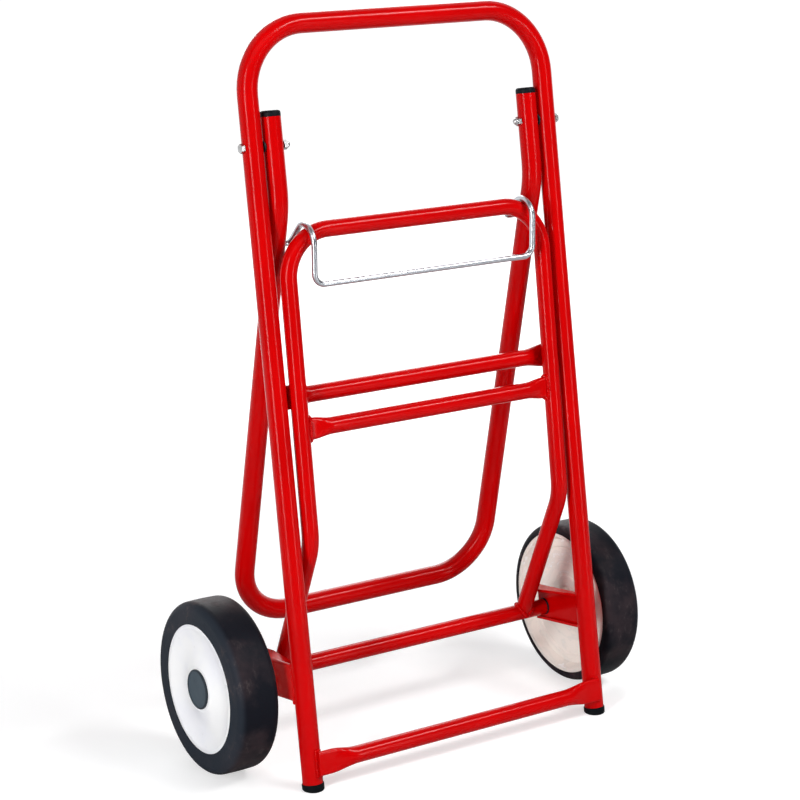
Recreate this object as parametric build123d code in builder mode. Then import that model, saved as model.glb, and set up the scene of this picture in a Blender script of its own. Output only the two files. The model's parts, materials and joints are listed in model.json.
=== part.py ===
from build123d import *
import os
from math import cos, radians, sin, sqrt

os.makedirs("parts", exist_ok=True)

# Folding hand truck. Millimetres, +X to the right as seen from the front, +Y to the back, +Z up.
# The origin is on the floor, in the middle of the truck's footprint.

# Main frame
leg_spacing = 407.0  # between the main legs' centre lines
frame_length = 875.0  # floor to the handle bar's centre line, measured along a leg
lean = 8.8  # degrees the main frame leans back
main_od = 24.0
main_wall = 1.5
handle_radius = 77.0
foot_reach = 117.5  # feet stand this far in front of the axle

# Foot caps
cap_wall = 1.0
cap_height = 7.5
cap_floor = 3.5
cap_round = 1.5

# Crossbars
bar_od = 20.0
bar_wall = 1.5
flat_height = 29.0  # flattened ends
flat_thickness = 6.0
flat_length = 16.0
flat_taper = 36.0
flat_end = 1.5  # flattened end stops this far inside the leg's centre line
bottom_bar_at = 31.8  # along the leg from the floor
upper_bar_at = 452.3

# Wheels
wheel_diameter = 205.0
tyre_width = 52.5
tyre_crown = 0.8
tyre_shoulder = 9.5
tyre_gap = 19.5  # between a main leg and the tyre beside it
tyre_depth_inner = 11.5  # rubber outside the hub's edge on the inner side
tyre_depth_outer = 26.2  # and on the outer side
rim_wall = 4.5
rim_seat_inner = 18.0  # width of the rim's inner seat
rim_seat_outer = 18.0
lip_recess = 1.0  # the hub's edges below the tyre's faces
hub_wall = 4.0
hub_draft = 6.0  # slope at the foot of the inner lip
dish_depth = 5.0  # outer disc below its lip
ring_depth = 1.5  # a ring pressed into the inner disc
ring_margin = 15.0  # from the ring to the boss and to the lip
collar_length = 6.0  # inside the hub, round the bush
boss_radius = 18.0
boss_face_radius = 27.0
boss_recess = 0.5
pocket_radius = 15.0  # in the boss, under the hub cap
pocket_depth = 5.5
hub_cap_radius = 23.5
hub_cap_height = 2.5
hub_cap_round = 1.2
hub_cap_spigot = 3.0
hub_cap_wall = 1.5

# Axle and its fittings
axle_diameter = 12.0
axle_tip = 1.2  # axle beyond its retainer
bush_diameter = 20.0
bush_flange_radius = 14.0
bush_flange = 2.0
retainer_radius = 11.0
retainer_thickness = 1.8
spacer_radius = 9.0
wheel_gap = 9.0  # from a bracket's web to the hub's boss

# Axle brackets
bracket_thickness = 3.0
bracket_top = 28.0  # above the axle, square to the leg
bracket_bottom = 16.0  # below the axle
bracket_rear = 12.0  # behind the axle
bracket_bend = 4.0
bracket_inset = 1.0  # the web stands this far inside the leg's outer side
flange_step = 12.0  # the top flange narrows from here, in front of the axle
flange_neck = 6.0  # its width left at the leg
lower_flange = 8.0  # width of the bottom flange

# Platform
platform_od = 20.0
platform_wall = 1.5
platform_side_gap = 4.3  # between a main leg and a platform leg
platform_lead = 4.6  # its legs stand ahead of the main legs, level with the upper crossbar
platform_slope = 0.0187  # and come further forward by this share of their length
knee_at = 280.5
knee_radius = 61.0
platform_drop = 234.5  # from the handle bar's centre line down to the platform's bar
platform_corner_radius = 55.0
platform_bar_at = 415.0
platform_flat_height = 26.0
platform_flat_thickness = 9.0
platform_flat_length = 14.0
platform_flat_taper = 26.0
pivot_bush_flange = 2.5
pivot_bush_flange_radius = 10.4
pivot_bush_length = 20.0

# Rear stand
stand_gap = 2.5  # between a main leg and a stand leg, filled by the spacer washer
stand_drop = 135.0  # from the handle bar's centre line down to the pivot bolts
stand_head = 33.0  # tube above the bolts
stand_neck = 68.6  # straight tube below the bolts
stand_foot_at = 168.5
stand_foot_back = 191.0
stand_bend_radius = 104.0
stand_corner_radius = 68.0
plug_head = 7.0
plug_stem = 14.0

# Stand pivot bolts
bolt_diameter = 6.0
hex_across_flats = 10.0
bolt_head = 4.0
nut_height = 5.0
nut_dome_radius = 4.3
washer_radius = 6.5

# Wire bail
wire_diameter = 7.0
bail_side_gap = 13.1  # from its side to the stand leg beside it
bail_front = 21.3  # from the tube it hangs on
bail_back = 34.0
bail_rise = 16.2
bail_drop = 50.2
bail_tail_drop = 10.0
bail_tail_gap = 1.2  # to the stand leg beside it
bail_crown = 8.0
bail_radius = 13.0
bail_front_radius = 22.0
bail_tail_radius = 4.5

# Clearances
weld_gap = 0.05  # between pieces that are welded
press_gap = 0.02  # between pieces that are pressed or moulded together
running_gap = 0.05  # radial, between a pin and what turns on it
end_gap = 0.3  # beside a part that turns

# Worked out from the sizes above
main_r = main_od / 2
bar_r = bar_od / 2
platform_r = platform_od / 2
wheel_r = wheel_diameter / 2
axle_r = axle_diameter / 2
bolt_r = bolt_diameter / 2
bush_r = bush_diameter / 2
rim_inner_radius = wheel_r - tyre_depth_inner
rim_outer_radius = wheel_r - tyre_depth_outer
leg_x = leg_spacing / 2
platform_x = leg_x - main_r - platform_side_gap - platform_r
stand_x = leg_x - main_od - stand_gap
stand_inside = stand_x - main_r
stand_pivot_at = frame_length - stand_drop
stand_top_at = stand_pivot_at + stand_head
stand_bend_at = stand_pivot_at - stand_neck
platform_top_at = frame_length - platform_drop
bail_half_width = stand_inside - bail_side_gap
lean_sin = sin(radians(lean))
lean_cos = cos(radians(lean))
weld_offset = main_r + flat_thickness / 2 + weld_gap  # crossbar's centre line from the legs' centre plane
front_y = min(-foot_reach + bottom_bar_at * lean_sin - weld_offset * lean_cos - bar_r, -wheel_r)
back_y = max(-foot_reach + stand_foot_at * lean_sin + stand_foot_back * lean_cos + main_r, wheel_r)
axle_y = -(front_y + back_y) / 2
foot_y = axle_y - foot_reach
axle_at = foot_reach * lean_sin + wheel_r * lean_cos  # the axle's place along the leg
axle_back = foot_reach * lean_cos - wheel_r * lean_sin  # and behind it
up = Vector(0, lean_sin, lean_cos)
forward = Vector(0, -lean_cos, lean_sin)


# A point in the main frame's own measures: across, along the leg from the floor, in front of the legs
def at(x, along, ahead=0.0):
    y = foot_y + along * lean_sin - ahead * lean_cos
    z = along * lean_cos + ahead * lean_sin
    return Vector(x, y, z)


def opposite(point):
    return Vector(-point.X, point.Y, point.Z)


def platform_ahead(along):
    return platform_lead + (along - upper_bar_at) * platform_slope


def plane_x(x, y, z, tall):
    return Plane(origin=(x, y, z), x_dir=tall, z_dir=(1, 0, 0))


# A round tube along straight runs and bends, or a solid wire if it has no wall
def add_tube(points, radii, diameter, wall=None):
    with BuildLine(mode=Mode.PRIVATE) as route:
        FilletPolyline(*points, radius=radii)
    with BuildSketch(Plane(origin=route.line @ 0, z_dir=route.line % 0), mode=Mode.PRIVATE) as ring:
        Circle(diameter / 2)
        if wall:
            Circle(diameter / 2 - wall, mode=Mode.SUBTRACT)
    sweep(sections=ring.sketch, path=route.line)


# A section between a round tube, share 0, and its pressed flat end, share 1
def oval(plane, share, radius, height, thickness):
    half_tall = radius + (height / 2 - radius) * share
    half_thin = radius + (thickness / 2 - radius) * share
    round_corner = radius * sqrt(0.5)
    corner_tall = round_corner + (height / 2 - thickness / 2 - round_corner) * share
    corner_thin = round_corner + (thickness / 2 - round_corner) * share
    with BuildSketch(plane, mode=Mode.PRIVATE) as section:
        with BuildLine():
            for side in (1, -1):
                start = (-side * corner_tall, side * corner_thin)
                end = (side * corner_tall, side * corner_thin)
                if share < 1:
                    ThreePointArc(start, (0, side * half_thin), end)
                else:
                    Line(start, end)
                next_start = (side * corner_tall, -side * corner_thin)
                ThreePointArc(end, (side * half_tall, 0), next_start)
        make_face()
    return section.sketch


# A crossbar: a round tube between two ends pressed flat
def add_flattened_bar(centre, tall, reach, diameter, wall, height, thickness, length, taper):
    round_end = reach - length - taper
    ring_plane = plane_x(-round_end, centre.Y, centre.Z, tall)
    with BuildSketch(ring_plane, mode=Mode.PRIVATE) as ring:
        Circle(diameter / 2)
        Circle(diameter / 2 - wall, mode=Mode.SUBTRACT)
    extrude(ring.sketch, amount=2 * round_end)
    for side in (1, -1):
        sections = []
        for place, share in ((0, 0), (0.2, 0.1), (0.5, 0.5), (0.8, 0.9), (1, 1)):
            x = side * (round_end + place * taper)
            section_plane = plane_x(x, centre.Y, centre.Z, tall)
            sections.append(oval(section_plane, share, diameter / 2, height, thickness))
        loft(sections)
        flat = oval(plane_x(side * (reach - length), centre.Y, centre.Z, tall), 1, 0, height, thickness)
        extrude(flat, amount=side * length)


# A cut or a pin along X
def cylinder_x(x, y, z, radius, length, mode=Mode.ADD):
    with Locations((x, y, z)):
        Cylinder(radius, length, rotation=(0, 90, 0), mode=mode)


# Profiles that are turned about the axle: along X, out from the axle
axle_plane = Plane(origin=(0, axle_y, wheel_r), x_dir=(1, 0, 0), z_dir=(0, -1, 0))
axle_line = Axis((0, axle_y, wheel_r), (1, 0, 0))


def save(builder, name):
    builder.part.label = name
    export_step(builder.part, f"parts/{name}.step")


# The right-hand piece and its mirror image on the left
def save_pair(builder, name):
    save(builder, f"{name}_right")
    with BuildPart() as left:
        mirror(builder.part, about=Plane.YZ)
    save(left, f"{name}_left")


pivot = at(0, stand_pivot_at)
tyre_in = leg_x + main_r + tyre_gap
tyre_out = tyre_in + tyre_width
boss_face = tyre_out - boss_recess
bush_seat = boss_face - pocket_depth
web_out = leg_x + main_r - bracket_inset
web_in = web_out - bracket_thickness
flange_in = platform_x + platform_r + bracket_thickness
pivot_tube_end = web_in - end_gap - pivot_bush_flange

# Main frame tube
with BuildPart() as main_frame_tube:
    right_run = [at(leg_x, cap_floor), at(leg_x, frame_length)]
    left_run = [opposite(point) for point in reversed(right_run)]
    add_tube(right_run + left_run, handle_radius, main_od, main_wall)
    cylinder_x(0, pivot.Y, pivot.Z, bolt_r + running_gap, leg_spacing + 2 * main_od, Mode.SUBTRACT)
save(main_frame_tube, "main_frame_tube")

# Rubber foot caps, trimmed level with the floor
with BuildPart() as foot_cap:
    with BuildSketch(Plane(origin=at(leg_x, -main_od / 2), z_dir=up)):
        Circle(main_r + cap_wall)
    extrude(amount=cap_height + main_od / 2)
    fillet(foot_cap.edges().sort_by(Axis.Z)[-1], cap_wall / 2)
    with BuildSketch(Plane(origin=at(leg_x, cap_floor), z_dir=up)):
        Circle(main_r + press_gap)
    extrude(amount=cap_height, mode=Mode.SUBTRACT)
    split(bisect_by=Plane.XY, keep=Keep.TOP)
    fillet(foot_cap.edges().sort_by(Axis.Z)[0], cap_round)
save_pair(foot_cap, "foot_cap")

# Bottom crossbar, welded to the front of the legs
with BuildPart() as bottom_crossbar:
    add_flattened_bar(
        at(0, bottom_bar_at, weld_offset), up, leg_x - flat_end, bar_od, bar_wall,
        flat_height, flat_thickness, flat_length, flat_taper,
    )
save(bottom_crossbar, "bottom_crossbar")

# Upper crossbar, welded to the back of the legs
with BuildPart() as upper_crossbar:
    add_flattened_bar(
        at(0, upper_bar_at, -weld_offset), up, leg_x - flat_end, bar_od, bar_wall,
        flat_height, flat_thickness, flat_length, flat_taper,
    )
save(upper_crossbar, "upper_crossbar")

# Axle brackets: channels open to the inside, square to the leg they are welded to
bracket_plane = Plane(origin=(0, axle_y, wheel_r), x_dir=(1, 0, 0), z_dir=forward)
flange_plane = Plane(origin=(0, axle_y, wheel_r), x_dir=(1, 0, 0), z_dir=up)
with BuildPart() as axle_bracket:
    middle = (bracket_top - bracket_bottom) / 2
    tall = bracket_top + bracket_bottom
    with BuildSketch(bracket_plane.offset(-bracket_rear)):
        with Locations(((flange_in + web_out) / 2, middle)):
            Rectangle(web_out - flange_in, tall)
        with Locations(((flange_in + web_in) / 2, middle)):
            Rectangle(web_in - flange_in, tall - 2 * bracket_thickness, mode=Mode.SUBTRACT)
    extrude(amount=bracket_rear + axle_back)
    outer_bends = axle_bracket.edges().filter_by(lambda edge: abs(edge.center().X - web_out) < 0.01)
    fillet(outer_bends.filter_by(Axis((0, 0, 0), tuple(forward))), bracket_bend)
    with BuildSketch(flange_plane.offset(bracket_top)):
        with BuildLine():
            Polyline(
                (flange_in, -flange_step), (flange_in, -axle_back),
                (web_out - flange_neck, -axle_back), close=True,
            )
        make_face()
    extrude(amount=-bracket_thickness, mode=Mode.SUBTRACT)
    with BuildSketch(flange_plane.offset(-bracket_bottom)):
        with Locations(((flange_in + web_out - lower_flange) / 2, 0)):
            Rectangle(web_out - lower_flange - flange_in, 4 * axle_back)
    extrude(amount=bracket_thickness, mode=Mode.SUBTRACT)
    with Locations(Plane(origin=at(leg_x, axle_at), z_dir=up)):
        Cylinder(main_r + weld_gap, 4 * main_od, mode=Mode.SUBTRACT)
    cylinder_x(leg_x, axle_y, wheel_r, axle_r + press_gap, 2 * main_od, Mode.SUBTRACT)
save_pair(axle_bracket, "axle_bracket")

# Axle rod
axle_end = bush_seat + end_gap + retainer_thickness + axle_tip
with BuildPart() as axle_rod:
    cylinder_x(0, axle_y, wheel_r, axle_r, 2 * axle_end)
    chamfer(axle_rod.edges().filter_by(GeomType.CIRCLE), axle_r / 6)
save(axle_rod, "axle_rod")

# Spacers on the axle, between bracket and wheel
boss_in = web_out + wheel_gap
bush_in = boss_in - bush_flange
spacer_length = bush_in - web_out - 2 * end_gap
with BuildPart() as wheel_spacers:
    for side in (1, -1):
        x = side * (web_out + end_gap + spacer_length / 2)
        cylinder_x(x, axle_y, wheel_r, spacer_radius, spacer_length)
    cylinder_x(0, axle_y, wheel_r, axle_r + press_gap, 2 * tyre_out, Mode.SUBTRACT)
save(wheel_spacers, "wheel_spacers")

# Push-on retainers at the axle's ends
with BuildPart() as axle_retainers:
    for side in (1, -1):
        x = side * (bush_seat + end_gap + retainer_thickness / 2)
        cylinder_x(x, axle_y, wheel_r, retainer_radius, retainer_thickness)
    cylinder_x(0, axle_y, wheel_r, axle_r + press_gap, 2 * tyre_out, Mode.SUBTRACT)
save(axle_retainers, "axle_retainers")

# Stand pivot bolts, heads outside the main legs
bolt_seat = leg_x + main_r + weld_gap
nut_seat = stand_inside - end_gap
bolt_tip = nut_seat - nut_height
with BuildPart() as pivot_bolts:
    for side in (1, -1):
        with BuildSketch(plane_x(side * bolt_seat, pivot.Y, pivot.Z, up)):
            RegularPolygon(hex_across_flats / 2, 6, major_radius=False)
        extrude(amount=side * bolt_head)
        shank = bolt_seat - bolt_tip
        cylinder_x(side * (bolt_seat - shank / 2), pivot.Y, pivot.Z, bolt_r, shank)
    fillet(pivot_bolts.edges().filter_by(Axis.X).filter_by(GeomType.LINE), bolt_r / 8)
save(pivot_bolts, "pivot_bolts")

# Cap nuts inside the stand legs
with BuildPart() as pivot_nuts:
    for side in (1, -1):
        with BuildSketch(plane_x(side * nut_seat, pivot.Y, pivot.Z, up)):
            RegularPolygon(hex_across_flats / 2, 6, major_radius=False)
        extrude(amount=-side * nut_height)
        with Locations((side * bolt_tip, pivot.Y, pivot.Z)):
            Sphere(nut_dome_radius)
        bore_x = side * (bolt_tip + nut_height)
        cylinder_x(bore_x, pivot.Y, pivot.Z, bolt_r + press_gap, 2 * nut_height, Mode.SUBTRACT)
save(pivot_nuts, "pivot_nuts")

# Spacer washers between main legs and stand legs
washer_thickness = stand_gap - 2 * end_gap
with BuildPart() as pivot_washers:
    for side in (1, -1):
        x = side * (leg_x - main_r - end_gap - washer_thickness / 2)
        cylinder_x(x, pivot.Y, pivot.Z, washer_radius, washer_thickness)
    cylinder_x(0, pivot.Y, pivot.Z, bolt_r + press_gap, leg_spacing, Mode.SUBTRACT)
save(pivot_washers, "pivot_washers")

# Platform tube, its lower ends saddled on the pivot tube
platform_top = at(platform_x, platform_top_at, platform_ahead(platform_top_at))
platform_knee = at(platform_x, knee_at, platform_ahead(knee_at))
platform_end = Vector(platform_x, axle_y, wheel_r)
platform_up = (platform_top - platform_knee).normalized()

with BuildPart() as platform_tube:
    right_run = [platform_end, platform_knee, platform_top]
    left_run = [opposite(point) for point in reversed(right_run)]
    bends = [knee_radius, platform_corner_radius, platform_corner_radius, knee_radius]
    add_tube(right_run + left_run, bends, platform_od, platform_wall)
    cylinder_x(0, axle_y, wheel_r, bar_r + weld_gap, leg_spacing, Mode.SUBTRACT)
save(platform_tube, "platform_tube")

# Platform crossbar, between the platform's legs
with BuildPart() as platform_crossbar:
    bar_ahead = platform_ahead(platform_bar_at)
    add_flattened_bar(
        at(0, platform_bar_at, bar_ahead), platform_up, platform_x, bar_od, bar_wall,
        platform_flat_height, platform_flat_thickness, platform_flat_length, platform_flat_taper,
    )
    for side in (1, -1):
        leg_point = at(side * platform_x, platform_bar_at, bar_ahead)
        with Locations(Plane(origin=leg_point, z_dir=platform_up)):
            Cylinder(platform_r + weld_gap, 4 * platform_flat_height, mode=Mode.SUBTRACT)
save(platform_crossbar, "platform_crossbar")

# Pivot tube, round the axle
with BuildPart() as pivot_tube:
    cylinder_x(0, axle_y, wheel_r, bar_r, 2 * pivot_tube_end)
    cylinder_x(0, axle_y, wheel_r, bar_r - bar_wall, 2 * pivot_tube_end, Mode.SUBTRACT)
save(pivot_tube, "pivot_tube")

# Flanged bushes pressed into the pivot tube
with BuildPart() as pivot_bush:
    x = pivot_tube_end - pivot_bush_length / 2
    cylinder_x(x, axle_y, wheel_r, bar_r - bar_wall - press_gap, pivot_bush_length)
    flange_x = pivot_tube_end + pivot_bush_flange / 2
    cylinder_x(flange_x, axle_y, wheel_r, pivot_bush_flange_radius, pivot_bush_flange)
    cylinder_x(x, axle_y, wheel_r, axle_r + running_gap, 2 * pivot_bush_length, Mode.SUBTRACT)
save_pair(pivot_bush, "pivot_bush")

# Stand tube
with BuildPart() as stand_tube:
    right_run = [
        at(stand_x, stand_top_at), at(stand_x, stand_bend_at), at(stand_x, stand_foot_at, -stand_foot_back),
    ]
    left_run = [opposite(point) for point in reversed(right_run)]
    bends = [stand_bend_radius, stand_corner_radius, stand_corner_radius, stand_bend_radius]
    add_tube(right_run + left_run, bends, main_od, main_wall)
    cylinder_x(0, pivot.Y, pivot.Z, bolt_r + running_gap, leg_spacing, Mode.SUBTRACT)
save(stand_tube, "stand_tube")

# End plugs in the stand's open ends
with BuildPart() as stand_plug:
    with BuildSketch(Plane(origin=at(stand_x, stand_top_at + weld_gap), z_dir=up)):
        Circle(main_r)
    extrude(amount=plug_head)
    fillet(stand_plug.edges().sort_by(Axis.Z)[-1], plug_head / 2)
    with BuildSketch(Plane(origin=at(stand_x, stand_top_at + weld_gap), z_dir=up)):
        Circle(main_r - main_wall - press_gap)
    extrude(amount=-plug_stem)
save_pair(stand_plug, "stand_plug")

# Wire bail, hung over the platform's top corners
corner_start = platform_x - platform_corner_radius
corner_rise = sqrt(platform_corner_radius**2 - (bail_half_width - corner_start) ** 2)
corner_fall = platform_corner_radius - corner_rise
bail_hang = platform_top - platform_up * corner_fall
with BuildPart() as wire_bail:
    tail_y = bail_hang.Y + bail_back
    tail_z = bail_hang.Z - bail_tail_drop
    front_wire_y = bail_hang.Y - bail_front
    top_z = bail_hang.Z + bail_rise
    right_run = [
        Vector(stand_inside - bail_tail_gap, tail_y, tail_z),
        Vector(bail_half_width, tail_y, tail_z),
        Vector(bail_half_width, bail_hang.Y + bail_crown, top_z),
        Vector(bail_half_width, front_wire_y, top_z),
        Vector(bail_half_width, front_wire_y, bail_hang.Z - bail_drop),
    ]
    left_run = [opposite(point) for point in reversed(right_run)]
    right_bends = [bail_tail_radius, bail_radius, bail_front_radius, bail_radius]
    add_tube(right_run + left_run, right_bends + right_bends[::-1], wire_diameter)
save(wire_bail, "wire_bail")

# Wheels: the right-hand one, then its mirror image
cone_start = tyre_in + rim_seat_inner
cone_end = tyre_out - rim_seat_outer
lip_face = tyre_out - lip_recess
inner_lip = tyre_in + lip_recess

# Tyre, moulded over the hub's stepped rim
with BuildPart() as tyre:
    with BuildSketch(axle_plane, mode=Mode.PRIVATE) as tyre_profile:
        with BuildLine():
            tread_edge = wheel_r - tyre_crown
            tread_middle = (tyre_in + tyre_out) / 2
            ThreePointArc((tyre_in, tread_edge), (tread_middle, wheel_r), (tyre_out, tread_edge))
            Polyline(
                (tyre_out, tread_edge), (tyre_out, rim_outer_radius + press_gap),
                (cone_end, rim_outer_radius + press_gap), (cone_start, rim_inner_radius + press_gap),
                (tyre_in, rim_inner_radius + press_gap), (tyre_in, tread_edge),
            )
        make_face()
        fillet(tyre_profile.vertices().group_by(Axis.Y)[-1], tyre_shoulder)
    revolve(tyre_profile.sketch, axis=axle_line)
save_pair(tyre, "tyre")

# Hub: a hollow moulding with a stepped rim, a dished outer disc, an inner disc and collars for the bush
with BuildPart() as hub:
    lip_inside = rim_outer_radius - rim_wall
    rim_inside = rim_inner_radius - rim_wall
    dish_face = lip_face - dish_depth
    disc_back = dish_face - hub_wall
    inner_back = cone_start - rim_wall / 2
    inner_face = inner_back - hub_wall
    ring_face = inner_face + ring_depth
    collar_r = bush_r + hub_wall
    ring_in = boss_radius + ring_margin
    ring_out = rim_inside - ring_margin
    with BuildSketch(axle_plane, mode=Mode.PRIVATE) as hub_profile:
        with BuildLine():
            Polyline(
                (lip_face, lip_inside), (lip_face, rim_outer_radius), (cone_end, rim_outer_radius),
                (cone_start, rim_inner_radius), (inner_lip, rim_inner_radius), (inner_lip, rim_inside),
                (inner_face, rim_inside - hub_draft), (inner_face, ring_out),
                (ring_face, ring_out - ring_depth), (ring_face, ring_in + ring_depth),
                (inner_face, ring_in), (inner_face, boss_radius), (boss_in, boss_radius), (boss_in, bush_r),
                (inner_back + collar_length, bush_r), (inner_back + collar_length, collar_r),
                (inner_back, collar_r), (inner_back, rim_inside), (cone_end - rim_wall / 2, lip_inside),
                (disc_back, lip_inside), (disc_back, collar_r),
                (disc_back - collar_length, collar_r), (disc_back - collar_length, bush_r),
                (bush_seat, bush_r), (bush_seat, pocket_radius), (boss_face, pocket_radius),
                (boss_face, boss_face_radius),
            )
            dish_middle = (boss_face_radius + lip_inside) / 2
            Spline((boss_face, boss_face_radius), (dish_face, dish_middle), (lip_face, lip_inside))
        make_face()
    revolve(hub_profile.sketch, axis=axle_line)
save_pair(hub, "hub")

# Bearing bush in the hub
with BuildPart() as hub_bush:
    bush_length = bush_seat - boss_in
    cylinder_x(boss_in + bush_length / 2, axle_y, wheel_r, bush_r - press_gap, bush_length)
    cylinder_x(boss_in - bush_flange / 2, axle_y, wheel_r, bush_flange_radius, bush_flange)
    cylinder_x(boss_in, axle_y, wheel_r, axle_r + running_gap, 3 * bush_length, Mode.SUBTRACT)
save_pair(hub_bush, "hub_bush")

# Hub cap over the axle's end, its spigot pressed into the boss
with BuildPart() as hub_cap:
    cap_seat = boss_face + press_gap
    cap_face = cap_seat + hub_cap_height
    cylinder_x(cap_seat + hub_cap_height / 2, axle_y, wheel_r, hub_cap_radius, hub_cap_height)
    fillet(hub_cap.edges().sort_by(Axis.X)[-1], hub_cap_round)
    cylinder_x(cap_face, axle_y, wheel_r, hub_cap_radius - 2 * hub_cap_round, hub_cap_round, Mode.SUBTRACT)
    spigot_x = cap_seat - hub_cap_spigot / 2
    cylinder_x(spigot_x, axle_y, wheel_r, pocket_radius - press_gap, hub_cap_spigot)
    cylinder_x(spigot_x, axle_y, wheel_r, pocket_radius - hub_cap_wall, hub_cap_spigot, Mode.SUBTRACT)
save_pair(hub_cap, "hub_cap")
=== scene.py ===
import json
import math
import bpy
import bmesh
from mathutils import Matrix, Vector


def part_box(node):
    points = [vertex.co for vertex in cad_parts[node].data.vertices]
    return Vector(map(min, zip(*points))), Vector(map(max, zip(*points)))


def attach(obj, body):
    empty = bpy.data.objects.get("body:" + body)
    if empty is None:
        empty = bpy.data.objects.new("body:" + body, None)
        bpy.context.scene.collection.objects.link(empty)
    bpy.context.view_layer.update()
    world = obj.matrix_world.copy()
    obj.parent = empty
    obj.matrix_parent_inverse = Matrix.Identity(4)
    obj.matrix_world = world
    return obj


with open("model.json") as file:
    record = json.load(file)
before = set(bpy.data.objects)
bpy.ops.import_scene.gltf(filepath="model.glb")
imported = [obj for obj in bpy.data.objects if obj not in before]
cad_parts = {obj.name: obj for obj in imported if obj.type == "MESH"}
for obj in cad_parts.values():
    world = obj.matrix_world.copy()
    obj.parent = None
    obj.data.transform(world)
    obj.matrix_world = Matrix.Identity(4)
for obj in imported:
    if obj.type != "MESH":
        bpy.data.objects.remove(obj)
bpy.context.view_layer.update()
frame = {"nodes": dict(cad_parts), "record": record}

nodes = frame["nodes"]
scene = bpy.context.scene
scene.view_settings.view_transform = "Standard"

# sizes shared with the frame, in metres
truck = {
    "lean": math.radians(8.8), "footReach": 0.1175, "wheelRadius": 0.1025,
    "legX": 0.2035, "legRadius": 0.012, "tyreOut": 0.2875,
    "barRadius": 0.01, "bottomBarAt": 0.0318, "upperBarAt": 0.4523,
    "flatHeight": 0.029, "flatEnd": 0.0015,
    "platformX": 0.1772, "platformRadius": 0.01, "platformLead": 0.0046, "platformSlope": 0.0187,
    "kneeAt": 0.2805, "platformBarAt": 0.415, "platformFlatTall": 0.026, "platformFlatThin": 0.009,
    "bracketTop": 0.028, "bracketBottom": 0.016, "bracketInset": 0.001,
    "flangeNeck": 0.006, "lowerFlange": 0.008,
}
hands = (("Left", -1), ("Right", 1))
rodLow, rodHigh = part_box("axle_rod")
axleY = (rodLow.y + rodHigh.y) / 2
axle = Vector((0, axleY, truck["wheelRadius"]))
footY = axleY - truck["footReach"]
leanSin, leanCos = math.sin(truck["lean"]), math.cos(truck["lean"])


def onFrame(x, along, ahead=0.0):
    # across, along a main leg from the floor, in front of the legs
    y = footY + along * leanSin - ahead * leanCos
    z = along * leanCos + ahead * leanSin
    return Vector((x, y, z))


def platformAhead(along):
    return truck["platformLead"] + (along - truck["upperBarAt"]) * truck["platformSlope"]


# shader maths

class Sock:
    # a node's output, with the operators used below
    def __init__(self, shader, link):
        self.shader = shader
        self.link = link

    def _math(self, operation, first, second=0.0):
        return self.shader.node("ShaderNodeMath", {"operation": operation}, {0: first, 1: second})

    def __add__(self, other):
        return self._math("ADD", self, other)

    def __radd__(self, other):
        return self._math("ADD", other, self)

    def __sub__(self, other):
        return self._math("SUBTRACT", self, other)

    def __rsub__(self, other):
        return self._math("SUBTRACT", other, self)

    def __mul__(self, other):
        return self._math("MULTIPLY", self, other)

    def __rmul__(self, other):
        return self._math("MULTIPLY", other, self)

    def __pow__(self, other):
        return self._math("POWER", self, other)

    def __rpow__(self, other):
        return self._math("POWER", other, self)

    def __abs__(self):
        return self._math("ABSOLUTE", self)


class Finish:
    # the nodes of one material, or of the world
    def __init__(self, name, kind="materials", end="ShaderNodeOutputMaterial"):
        self.owner = getattr(bpy.data, kind).new(name)
        self.owner.use_nodes = True
        self.tree = self.owner.node_tree
        self.tree.nodes.clear()
        self.output = self.tree.nodes.new(end)

    def node(self, kind, settings=None, inputs=None, output=0):
        made = self.tree.nodes.new(kind)
        for key, value in (settings or {}).items():
            setattr(made, key, value)
        for key, value in (inputs or {}).items():
            if isinstance(value, Sock):
                self.tree.links.new(value.link, made.inputs[key])
            else:
                made.inputs[key].default_value = value
        return Sock(self, made.outputs[output])

    def coords(self):
        return self.node("ShaderNodeTexCoord", output="Object")

    def axis(self, where, letter):
        return self.node("ShaderNodeSeparateXYZ", None, {0: where}, letter)

    def noise(self, where, scale, detail, rough=0.55):
        sizes = {"Vector": where, "Scale": scale, "Detail": detail, "Roughness": rough}
        return self.node("ShaderNodeTexNoise", None, sizes, "Fac")

    def span(self, value, low, high):
        # 0 at low, 1 at high, smooth between
        sizes = {"Value": value, "From Min": low, "From Max": high}
        return self.node("ShaderNodeMapRange", {"interpolation_type": "SMOOTHSTEP"}, sizes)

    def mix(self, factor, first, second):
        return self.node("ShaderNodeMix", {"data_type": "RGBA"}, {0: factor, 6: first, 7: second}, 2)

    def stretch(self, where, scale):
        return self.node("ShaderNodeVectorMath", {"operation": "MULTIPLY"}, {0: where, 1: scale})

    def bump(self, height, strength, distance):
        sizes = {"Height": height, "Strength": strength, "Distance": distance}
        return self.node("ShaderNodeBump", None, sizes)

    def edges(self, low, high):
        # sharp corners, lighter for rubbed wear and as a painted highlight
        pointed = self.node("ShaderNodeNewGeometry", output="Pointiness")
        return self.span(pointed, low, high)

    def fromAxle(self, where):
        # distance from the wheels' axis
        y = self.axis(where, "Y") - axle.y
        z = self.axis(where, "Z") - axle.z
        return (y * y + z * z) ** 0.5

    def rays(self, behind):
        # 1 for the rays that meet the white background
        direct = self.node("ShaderNodeLightPath", output="Is Camera Ray")
        through = self.node("ShaderNodeLightPath", output="Is Transmission Ray")
        mirrored = self.node("ShaderNodeLightPath", output="Is Glossy Ray")
        return direct + through + mirrored * behind

    def ends(self, shader):
        self.tree.links.new(shader.link, self.output.inputs[0])
        return self.owner

    def surface(self, **inputs):
        return self.ends(self.node("ShaderNodeBsdfPrincipled", None, inputs))


# finishes: a noise is scale and detail, a span is from and to, a bump is strength and height

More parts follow.
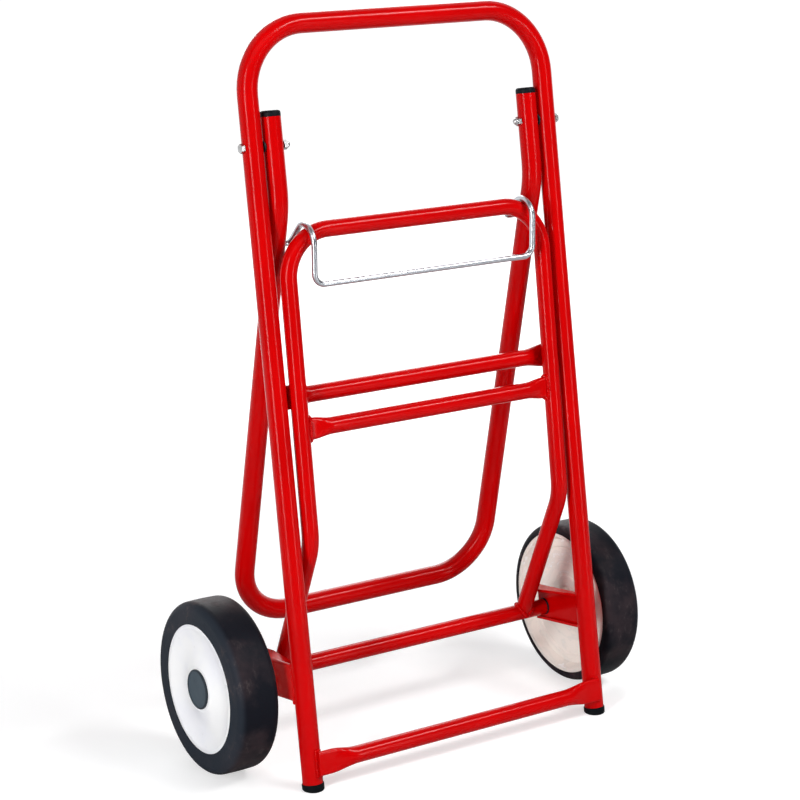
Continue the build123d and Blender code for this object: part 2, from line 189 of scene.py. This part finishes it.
redSizes = {
    "deep": (0.41, 0.0004, 0.0008, 1), "bright": (0.63, 0.0006, 0.001, 1), "patch": (11.0, 4),
    "primer": (0.25, 0.003, 0.004, 1), "speck": (190.0, 2), "speckSpan": (0.7, 0.78), "speckShare": 0.35,
    "gloss": 0.15, "dull": (60.0, 3), "dullShare": 0.08,
    "peel": (460.0, 1.5), "peelBump": (0.05, 0.0004), "specular": 0.1,
}


def redPaint():
    finish = Finish("redPaint")
    where = finish.coords()
    patch = finish.noise(where, *redSizes["patch"])
    colour = finish.mix(patch, redSizes["deep"], redSizes["bright"])
    specks = finish.span(finish.noise(where, *redSizes["speck"]), *redSizes["speckSpan"])
    colour = finish.mix(specks * redSizes["speckShare"], colour, redSizes["primer"])
    dull = finish.noise(where, *redSizes["dull"]) * patch
    peel = finish.noise(where, *redSizes["peel"])
    return finish.surface(**{
        "Base Color": colour, "Roughness": redSizes["gloss"] + redSizes["dullShare"] * dull,
        "Normal": finish.bump(peel, *redSizes["peelBump"]),
        "Specular IOR Level": redSizes["specular"],
    })


rubberSizes = {
    "dark": (0.0032, 0.0045, 0.006, 1), "dusty": (0.016, 0.018, 0.021, 1),
    "dust": (45.0, 5), "dustSpan": (0.42, 0.75), "dustShare": 0.6,
    "grain": (240.0, 4), "grainBump": (0.2, 0.0006), "smooth": 0.5, "roughGrain": 0.25, "specular": 0.06,
}


def capRubber():
    finish = Finish("capRubber")
    where = finish.coords()
    grain = finish.noise(where, *rubberSizes["grain"])
    dust = finish.span(finish.noise(where, *rubberSizes["dust"]), *rubberSizes["dustSpan"])
    colour = finish.mix(dust * rubberSizes["dustShare"], rubberSizes["dark"], rubberSizes["dusty"])
    return finish.surface(**{
        "Base Color": colour, "Roughness": rubberSizes["smooth"] + rubberSizes["roughGrain"] * grain,
        "Normal": finish.bump(grain, *rubberSizes["grainBump"]),
        "Specular IOR Level": rubberSizes["specular"],
    })


plasticSizes = {
    "black": (0.004, 0.0055, 0.0075, 1), "rubbedAndHighlight": (0.04, 0.046, 0.054, 1),
    "edgeSpan": (0.52, 0.6), "edgeShare": 0.4,
    "grain": (520.0, 3), "grainBump": (0.12, 0.0004), "smooth": 0.36, "roughGrain": 0.2, "specular": 0.08,
}


def blackPlastic():
    finish = Finish("blackPlastic")
    where = finish.coords()
    grain = finish.noise(where, *plasticSizes["grain"])
    # lighter sharp edges and rims: partly rubbed wear, partly a painted highlight
    edges = finish.edges(*plasticSizes["edgeSpan"]) * plasticSizes["edgeShare"]
    colour = finish.mix(edges, plasticSizes["black"], plasticSizes["rubbedAndHighlight"])
    return finish.surface(**{
        "Base Color": colour, "Roughness": plasticSizes["smooth"] + plasticSizes["roughGrain"] * grain,
        "Normal": finish.bump(grain, *plasticSizes["grainBump"]),
        "Specular IOR Level": plasticSizes["specular"],
    })


zincSizes = {
    "dull": (0.34, 0.34, 0.35, 1), "bright": (0.66, 0.66, 0.66, 1), "tarnish": (0.14, 0.135, 0.13, 1),
    "spangle": (130.0, 4), "spangleBump": (0.1, 0.0004), "stain": (40.0, 4), "stainSpan": (0.45, 0.7),
    "stainShare": 0.5, "smooth": 0.24, "roughSpangle": 0.2,
}


def zincSteel():
    finish = Finish("zincSteel")
    where = finish.coords()
    spangle = finish.noise(where, *zincSizes["spangle"])
    stain = finish.span(finish.noise(where, *zincSizes["stain"]), *zincSizes["stainSpan"])
    colour = finish.mix(spangle, zincSizes["dull"], zincSizes["bright"])
    colour = finish.mix(stain * zincSizes["stainShare"], colour, zincSizes["tarnish"])
    return finish.surface(**{
        "Base Color": colour, "Metallic": 1.0,
        "Roughness": zincSizes["smooth"] + zincSizes["roughSpangle"] * spangle,
        "Normal": finish.bump(spangle, *zincSizes["spangleBump"]),
    })


wireSizes = {
    "dull": (0.4, 0.42, 0.45, 1), "bright": (0.66, 0.68, 0.72, 1), "spangle": (45.0, 2),
    "drawing": (0.06, 1, 1), "drawn": (900.0, 2), "drawnBump": (0.04, 0.0003),
    "smooth": 0.24, "roughDrawn": 0.08,
}


def brightWire():
    finish = Finish("brightWire")
    where = finish.coords()
    drawn = finish.noise(finish.stretch(where, wireSizes["drawing"]), *wireSizes["drawn"])
    spangle = finish.noise(where, *wireSizes["spangle"])
    return finish.surface(**{
        "Base Color": finish.mix(spangle, wireSizes["dull"], wireSizes["bright"]), "Metallic": 1.0,
        "Roughness": wireSizes["smooth"] + wireSizes["roughDrawn"] * drawn,
        "Normal": finish.bump(drawn, *wireSizes["drawnBump"]),
    })


tyreSizes = {
    "black": (0.0064, 0.0072, 0.0112, 1), "paintedSheen": (0.034, 0.0235, 0.027, 1),
    "side": (0.024, 0.031, 0.042, 1), "scuffAndSheen": (0.085, 0.068, 0.068, 1),
    "cloud": (15.0, 5), "cloudSpan": (0.42, 0.66), "cloudShare": 0.8,
    "sideFrom": 0.009, "sideTo": 0.001, "litSideShare": 0.7,
    "rolling": (2, 1, 1), "scuff": (48.0, 8, 0.72), "scuffSpan": (0.52, 0.72), "scuffShare": 0.8,
    "grain": (380.0, 4), "scuffHeight": 0.6, "bump": (0.2, 0.0006),
    "smooth": 0.4, "roughGrain": 0.2, "roughScuff": 0.14, "specular": 0.05,
}


def tyreRubber():
    finish = Finish("tyreRubber")
    where = finish.coords()
    out = abs(finish.axis(where, "X"))
    face = truck["tyreOut"]
    # the outer sidewall is painted lighter: painted light where it faces the lamps, and wear on the
    # shoulder
    litSideWall = finish.span(out, face - tyreSizes["sideFrom"], face - tyreSizes["sideTo"])
    # brownish clouds on the tread: a painted sheen, the red frame's warm reflection painted into the rubber
    cloud = finish.span(finish.noise(where, *tyreSizes["cloud"]), *tyreSizes["cloudSpan"])
    colour = finish.mix(cloud * tyreSizes["cloudShare"], tyreSizes["black"], tyreSizes["paintedSheen"])
    colour = finish.mix(litSideWall * tyreSizes["litSideShare"], colour, tyreSizes["side"])
    # pale streaks round the tread, only inside the painted sheen clouds: partly scuff wear, partly painted
    # sheen streaks
    scuff = finish.noise(finish.stretch(where, tyreSizes["rolling"]), *tyreSizes["scuff"])
    scuff = finish.span(scuff, *tyreSizes["scuffSpan"])
    colour = finish.mix(scuff * cloud * tyreSizes["scuffShare"], colour, tyreSizes["scuffAndSheen"])
    grain = finish.noise(where, *tyreSizes["grain"])
    rough = tyreSizes["smooth"] + tyreSizes["roughGrain"] * grain + tyreSizes["roughScuff"] * scuff
    height = grain + tyreSizes["scuffHeight"] * scuff
    return finish.surface(**{
        "Base Color": colour, "Roughness": rough, "Normal": finish.bump(height, *tyreSizes["bump"]),
        "Specular IOR Level": tyreSizes["specular"],
    })


# the hub's outer half is white, its inner half painted cream as a warm painted shade on the same white
# plastic, with moulding swirls
hubSizes = {
    "white": (0.93, 0.93, 0.93, 1), "paintedShade": (0.83, 0.84, 0.91, 1), "cloud": (14.0, 4),
    "cloudSpan": (0.35, 0.65), "cloudShare": 0.6,
    "paintedShadeCream": (0.95, 0.89, 0.82, 1), "creamShade": (0.87, 0.83, 0.77, 1), "pale": (0.97, 0.97, 0.95, 1),
    "swirl": (16.0, 2), "swirlShare": 0.5, "swirlTurns": 14.0, "streak": (9.0, 3), "streakCloud": 0.3,
    "shadeSpan": (0.42, 0.6), "paleSpan": (0.6, 0.7), "halves": (0.258, 0.262),
    "grime": (0.5, 0.49, 0.46, 1), "spot": (85.0, 5), "spotSpan": (0.64, 0.78), "spotShare": 0.2,
    "grain": (300.0, 3), "grainBump": (0.06, 0.0004), "smooth": 0.36, "roughGrain": 0.16, "specular": 0.3,
}


def whitePlastic():
    finish = Finish("whitePlastic")
    where = finish.coords()
    cloud = finish.span(finish.noise(where, *hubSizes["cloud"]), *hubSizes["cloudSpan"])
    # lavender clouds on the white outer half: painted shade
    outer = finish.mix(cloud * hubSizes["cloudShare"], hubSizes["white"], hubSizes["paintedShade"])
    swirl = finish.noise(where, *hubSizes["swirl"]) * hubSizes["swirlShare"]
    swirl = swirl + finish.fromAxle(where) * hubSizes["swirlTurns"]
    flow = finish.node("ShaderNodeCombineXYZ", None, {0: swirl, 1: cloud * hubSizes["streakCloud"]})
    streak = finish.noise(flow, *hubSizes["streak"])
    shaded = finish.span(streak, *hubSizes["shadeSpan"])
    inner = finish.mix(shaded, hubSizes["paintedShadeCream"], hubSizes["creamShade"])
    inner = finish.mix(finish.span(streak, *hubSizes["paleSpan"]), inner, hubSizes["pale"])
    out = abs(finish.axis(where, "X"))
    # the inner half gets the cream: painted warm shade on the same plastic
    colour = finish.mix(finish.span(out, *hubSizes["halves"]), inner, outer)
    spots = finish.span(finish.noise(where, *hubSizes["spot"]), *hubSizes["spotSpan"])
    colour = finish.mix(spots * hubSizes["spotShare"], colour, hubSizes["grime"])
    grain = finish.noise(where, *hubSizes["grain"])
    return finish.surface(**{
        "Base Color": colour, "Roughness": hubSizes["smooth"] + hubSizes["roughGrain"] * grain,
        "Normal": finish.bump(grain, *hubSizes["grainBump"]),
        "Specular IOR Level": hubSizes["specular"],
    })


slateSizes = {
    "dark": (0.042, 0.06, 0.078, 1), "light": (0.066, 0.09, 0.11, 1), "cloud": (60.0, 4),
    "edge": (0.016, 0.02, 0.026, 1), "edgeSpan": (0.0205, 0.0228), "edgeShare": 0.8,
    "grain": (420.0, 3), "grainBump": (0.1, 0.0004), "smooth": 0.38, "roughGrain": 0.18, "specular": 0.15,
}


def slatePlastic():
    finish = Finish("slatePlastic")
    where = finish.coords()
    cloud = finish.noise(where, *slateSizes["cloud"])
    colour = finish.mix(cloud, slateSizes["dark"], slateSizes["light"])
    # a darker ring round the cap's rim: painted shade at the cap's edge
    edge = finish.span(finish.fromAxle(where), *slateSizes["edgeSpan"])
    colour = finish.mix(edge * slateSizes["edgeShare"], colour, slateSizes["edge"])
    grain = finish.noise(where, *slateSizes["grain"])
    return finish.surface(**{
        "Base Color": colour, "Roughness": slateSizes["smooth"] + slateSizes["roughGrain"] * grain,
        "Normal": finish.bump(grain, *slateSizes["grainBump"]),
        "Specular IOR Level": slateSizes["specular"],
    })


finishes = {
    "red_paint": redPaint(), "foot_rubber": capRubber(), "zinc_steel": zincSteel(),
    "bright_wire": brightWire(), "black_plastic": blackPlastic(), "tyre_rubber": tyreRubber(),
    "white_plastic": whitePlastic(), "slate_plastic": slatePlastic(),
}
for row in frame["record"]["subparts"]:
    mesh = nodes[row["node"]].data
    mesh.materials.clear()
    mesh.materials.append(finishes[row["material_slot"]])


# weld beads: a drift is radians a metre and share of the radius

beadSizes = {
    "radius": 0.0022, "step": 0.0006, "fewest": 8, "sides": 10, "pitch": 0.0026, "ripple": 0.26,
    "slowDrift": (610, 0.06), "quickDrift": (1370, 0.04), "fade": 0.004, "thinnest": 0.05,
    "shortest": 1e-9,
}
fullTurn = 2 * math.pi


def evenly(points, closed):
    # the same route, in short equal steps
    route = points + points[:1] if closed else points
    walked = [0.0]
    for first, second in zip(route, route[1:]):
        walked.append(walked[-1] + (second - first).length)
    count = max(beadSizes["fewest"], round(walked[-1] / beadSizes["step"]))
    made, leg = [], 0
    for index in range(count if closed else count + 1):
        wanted = walked[-1] * index / count
        while leg < len(route) - 2 and walked[leg + 1] < wanted:
            leg += 1
        stride = max(walked[leg + 1] - walked[leg], beadSizes["shortest"])
        share = (wanted - walked[leg]) / stride
        made.append(route[leg].lerp(route[leg + 1], share))
    return made, walked[-1]


def beadRadius(name, place, length, closed):
    wave = beadSizes["ripple"] * math.sin(fullTurn * place / beadSizes["pitch"])
    slow, slowShare = beadSizes["slowDrift"]
    quick, quickShare = beadSizes["quickDrift"]
    drift = math.sin(place * slow + len(name)) * slowShare + math.sin(place * quick) * quickShare
    radius = beadSizes["radius"] * (1 + wave + drift)
    if not closed:
        end = min(place, length - place) / beadSizes["fade"]
        radius *= math.sqrt(max(beadSizes["thinnest"], min(1.0, end)))
    return radius


def beadRings(mesh, name, points, closed, size):
    route, length = evenly(points, closed)
    count = len(route)
    rings, side = [], None
    for index, point in enumerate(route):
        before = route[index - 1] if closed or index else point
        after = route[(index + 1) % count] if closed or index < count - 1 else point
        along = (after - before).normalized()
        side = along.orthogonal() if side is None else side - along * side.dot(along)
        side.normalize()
        up = along.cross(side)
        radius = beadRadius(name, length * index / count, length, closed) * size
        turns = [fullTurn * step / beadSizes["sides"] for step in range(beadSizes["sides"])]
        rings.append([mesh.verts.new(point + (side * math.cos(turn) + up * math.sin(turn)) * radius)
                      for turn in turns])
    return rings


def joinRings(mesh, rings, closed):
    sides = beadSizes["sides"]
    for first, second in zip(rings, rings[1:] + rings[:1] if closed else rings[1:]):
        twist = 0
        if closed and second is rings[0]:  # the last ring meets the first wherever it lies closest
            twist = min(range(sides), key=lambda t: (second[t].co - first[0].co).length)
        for near in range(sides):
            far = (near + 1) % sides
            nearMate, farMate = second[(near + twist) % sides], second[(far + twist) % sides]
            mesh.faces.new((first[near], first[far], farMate, nearMate))
    if not closed:
        mesh.faces.new(rings[0])
        mesh.faces.new(rings[-1])


def layBead(name, body, points, closed=False, size=1.0):
    mesh = bmesh.new()
    joinRings(mesh, beadRings(mesh, name, points, closed, size), closed)
    bmesh.ops.recalc_face_normals(mesh, faces=mesh.faces)
    for face in mesh.faces:
        face.smooth = True
    shape = bpy.data.meshes.new(name)
    mesh.to_mesh(shape)
    mesh.free()
    shape.materials.append(finishes["red_paint"])
    bead = bpy.data.objects.new(name, shape)
    scene.collection.objects.link(bead)
    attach(bead, body)


# crossbar ends, where the flat laps the leg: over the top edge, round the end and back underneath
lapSizes = {"reach": 0.0085, "stand": 0.0005, "bite": 0.0008, "topSteps": 8, "endSteps": 16}


def lapRoute(half):
    # pairs of distance inside the leg's centre line and height on the flat
    edge, reach = truck["flatEnd"] - lapSizes["bite"], lapSizes["reach"]
    topSteps, endSteps = lapSizes["topSteps"], lapSizes["endSteps"]
    top = [(reach + (edge - reach) * n / topSteps, half) for n in range(topSteps)]
    end = [(edge, half - 2 * half * n / endSteps) for n in range(endSteps + 1)]
    under = [(across, -along) for across, along in reversed(top)]
    return top + end + under


def weldLaps():
    legRadius, half = truck["legRadius"], truck["flatHeight"] / 2
    for word, at, facing in (("Bottom", truck["bottomBarAt"], 1), ("Upper", truck["upperBarAt"], -1)):
        for hand, side in hands:
            route = []
            for across, along in lapRoute(half):
                ahead = math.sqrt(legRadius ** 2 - across ** 2) + lapSizes["stand"]
                route.append(onFrame(side * (truck["legX"] - across), at + along, facing * ahead))
            layBead("weld" + word + hand, "main_frame", route)


# platform crossbar, all round each end
roundSizes = {"steps": 64, "square": 1.5, "tallOut": 1.03, "thinOut": 1.1, "stand": 0.0004, "size": 1.1}


def weldPlatformBar():
    low, high = truck["kneeAt"], truck["platformBarAt"]
    start = onFrame(0, low, platformAhead(low))
    middle = onFrame(0, high, platformAhead(high))
    tallWay = (middle - start).normalized()
    thinWay = Vector((1, 0, 0)).cross(tallWay)
    thinHalf = truck["platformFlatThin"] / 2
    straight = truck["platformFlatTall"] / 2 - thinHalf
    for hand, side in hands:
        route = []
        for step in range(roundSizes["steps"]):
            turn = fullTurn * step / roundSizes["steps"]
            share = max(-1, min(1, math.cos(turn) * roundSizes["square"]))
            tall = straight * share + thinHalf * math.cos(turn)
            thin = thinHalf * math.sin(turn)
            inside = math.sqrt(truck["platformRadius"] ** 2 - thin ** 2) + roundSizes["stand"]
            at = middle + tallWay * tall * roundSizes["tallOut"] + thinWay * thin * roundSizes["thinOut"]
            route.append(at + Vector((side * (truck["platformX"] - inside), 0, 0)))
        layBead("weldPlatformBar" + hand, "platform", route, True, roundSizes["size"])


# platform legs, where each sits astride the pivot tube
saddleSizes = {"steps": 96, "stand": 0.0003, "size": 1.05}


def weldSaddles():
    knee = onFrame(0, truck["kneeAt"], platformAhead(truck["kneeAt"]))
    legWay = (knee - axle).normalized()
    crossWay = Vector((1, 0, 0)).cross(legWay)
    legReach = truck["platformRadius"] + saddleSizes["stand"]
    tubeReach = truck["barRadius"] + saddleSizes["stand"]
    for hand, side in hands:
        route = []
        for step in range(saddleSizes["steps"]):
            turn = fullTurn * step / saddleSizes["steps"]
            cross = legReach * math.sin(turn)
            rise = math.sqrt(max(0.0, tubeReach ** 2 - cross ** 2))
            across = side * truck["platformX"] + legReach * math.cos(turn)
            route.append(axle + Vector((across, 0, 0)) + crossWay * cross + legWay * rise)
        layBead("weldSaddle" + hand, "platform", route, True, saddleSizes["size"])


# axle brackets, down the web's edge and across both flanges
bracketSizes = {"topSteps": 8, "webSteps": 24, "bottomSteps": 12, "stand": 0.0003, "size": 0.85}


def bracketRoute():
    # pairs of distance outside the leg's centre line and place along the leg
    axleAt = truck["footReach"] * leanSin + truck["wheelRadius"] * leanCos
    top, bottom = axleAt + truck["bracketTop"], axleAt - truck["bracketBottom"]
    web = truck["legRadius"] - truck["bracketInset"]
    topSteps, webSteps, bottomSteps = (bracketSizes[key] for key in ("topSteps", "webSteps", "bottomSteps"))
    places = [(web - truck["flangeNeck"] * (1 - n / topSteps), top) for n in range(topSteps + 1)]
    places += [(web, top + (bottom - top) * n / webSteps) for n in range(1, webSteps + 1)]
    places += [(web - truck["lowerFlange"] * n / bottomSteps, bottom) for n in range(1, bottomSteps + 1)]
    return places


def weldBrackets():
    for hand, side in hands:
        route = []
        for across, along in bracketRoute():
            behind = math.sqrt(truck["legRadius"] ** 2 - across ** 2) + bracketSizes["stand"]
            route.append(onFrame(side * (truck["legX"] + across), along, -behind))
        layBead("weldBracket" + hand, "main_frame", route, False, bracketSizes["size"])


weldLaps()
weldPlatformBar()
weldSaddles()
weldBrackets()
print("weld beads laid")


# studio

# the white backdrop stands behind the truck: glossy rays meet it there, the camera sees it everywhere
backdropSizes = {"floorSpan": (0.1, 0.9), "wallSpan": (-0.05, 0.25)}
floorSizes = {
    "half": 16.0, "paper": (0.6, 0.6, 0.6, 1), "paperLight": (0.66, 0.66, 0.66, 1), "mottle": (3, 3),
    "mottleShare": 0.2, "glowSpan": (0.5, 1.9), "glowNear": (0.55, 0.55, 0.55, 1), "glowFar": (1, 1, 1, 1),
}


def makeFloor():
    finish = Finish("floorPaper")
    where = finish.coords()
    mottle = finish.noise(where, *floorSizes["mottle"]) * floorSizes["mottleShare"]
    tone = finish.mix(mottle, floorSizes["paper"], floorSizes["paperLight"])
    paper = finish.node("ShaderNodeBsdfDiffuse", None, {"Color": tone})
    x, y = finish.axis(where, "X"), finish.axis(where, "Y")
    distance = finish.span((x * x + y * y) ** 0.5, *floorSizes["glowSpan"])
    tint = finish.mix(distance, floorSizes["glowNear"], floorSizes["glowFar"])
    glow = finish.node("ShaderNodeEmission", None, {"Color": tint, "Strength": 1.0})
    both = finish.node("ShaderNodeAddShader", None, {0: paper, 1: glow})
    seen = finish.rays(finish.span(y, *backdropSizes["floorSpan"]))
    half = floorSizes["half"]
    corners = [(-half, -half, 0), (half, -half, 0), (half, half, 0), (-half, half, 0)]
    mesh = bpy.data.meshes.new("floor")
    mesh.from_pydata(corners, [], [(0, 1, 2, 3)])
    surface = finish.node("ShaderNodeMixShader", None, {0: seen, 1: paper, 2: both})
    mesh.materials.append(finish.ends(surface))
    floor = bpy.data.objects.new("floor", mesh)
    scene.collection.objects.link(floor)


worldSizes = {"ambient": (0.09, 0.09, 0.1, 1), "seen": (1, 1, 1, 1)}


def makeWorld():
    studio = Finish("studio", "worlds", "ShaderNodeOutputWorld")
    way = studio.node("ShaderNodeTexCoord", output="Generated")
    behind = studio.span(studio.axis(way, "Y"), *backdropSizes["wallSpan"])
    colour = studio.mix(studio.rays(behind), worldSizes["ambient"], worldSizes["seen"])
    scene.world = studio.ends(studio.node("ShaderNodeBackground", None, {"Color": colour}))


lamps = {
    "keyStrip": {"at": (-2.65, -1.4, 1.25), "aim": (0, 0, 0.75), "size": (0.42, 2.5), "power": 76},
    "fillStrip": {"at": (1.2, -2.83, 0.65), "aim": (0, 0, 0.6), "size": (0.25, 1.3), "power": 15},
    "barBank": {"at": (1.25, -1.8, 2.65), "aim": (0, 0, 0.5), "size": (1.6, 0.3), "power": 64},
    "softBank": {"at": (-0.9, -1.9, 2.9), "aim": (0, 0, 0.4), "size": (2.4, 1.2), "power": 8},
    "backBank": {"at": (1.3, 2.7, 1.7), "aim": (0, 0, 0.5), "size": (1.6, 2.2), "power": 44},
}


def makeLamps():
    for name, lamp in lamps.items():
        light = bpy.data.lights.new(name, "AREA")
        light.shape = "RECTANGLE"
        light.size, light.size_y = lamp["size"]
        light.energy = lamp["power"]
        holder = bpy.data.objects.new(name, light)
        holder.location = lamp["at"]
        away = Vector(lamp["aim"]) - Vector(lamp["at"])
        holder.rotation_euler = away.to_track_quat("-Z", "Y").to_euler()
        holder.visible_camera = False
        scene.collection.objects.link(holder)


# the photo's camera, placed from the axle
view = {
    "at": (-1.4917, -2.3121, 1.1437), "pan": 0.6059, "tilt": 0.2279, "roll": 0.0018,
    "lens": 106.63, "sensor": 36.0, "shift": (-0.1, -0.1),
}


def makeCamera():
    pan, tilt, roll = view["pan"], view["tilt"], view["roll"]
    ahead = Vector((math.sin(pan) * math.cos(tilt), math.cos(pan) * math.cos(tilt), -math.sin(tilt)))
    level = Vector((math.cos(pan), -math.sin(pan), 0))
    upright = level.cross(ahead)
    right = level * math.cos(roll) + upright * math.sin(roll)
    above = right.cross(ahead)
    lens = bpy.data.cameras.new("photoCamera")
    lens.lens = view["lens"]
    lens.sensor_width = view["sensor"]
    lens.shift_x, lens.shift_y = view["shift"]
    camera = bpy.data.objects.new("photoCamera", lens)
    turn = Matrix((right, above, -ahead)).transposed().to_4x4()
    camera.matrix_world = Matrix.Translation(Vector(view["at"]) + Vector((0, axleY, 0))) @ turn
    scene.collection.objects.link(camera)
    scene.camera = camera


makeFloor()
makeWorld()
makeLamps()
makeCamera()
print("studio ready")
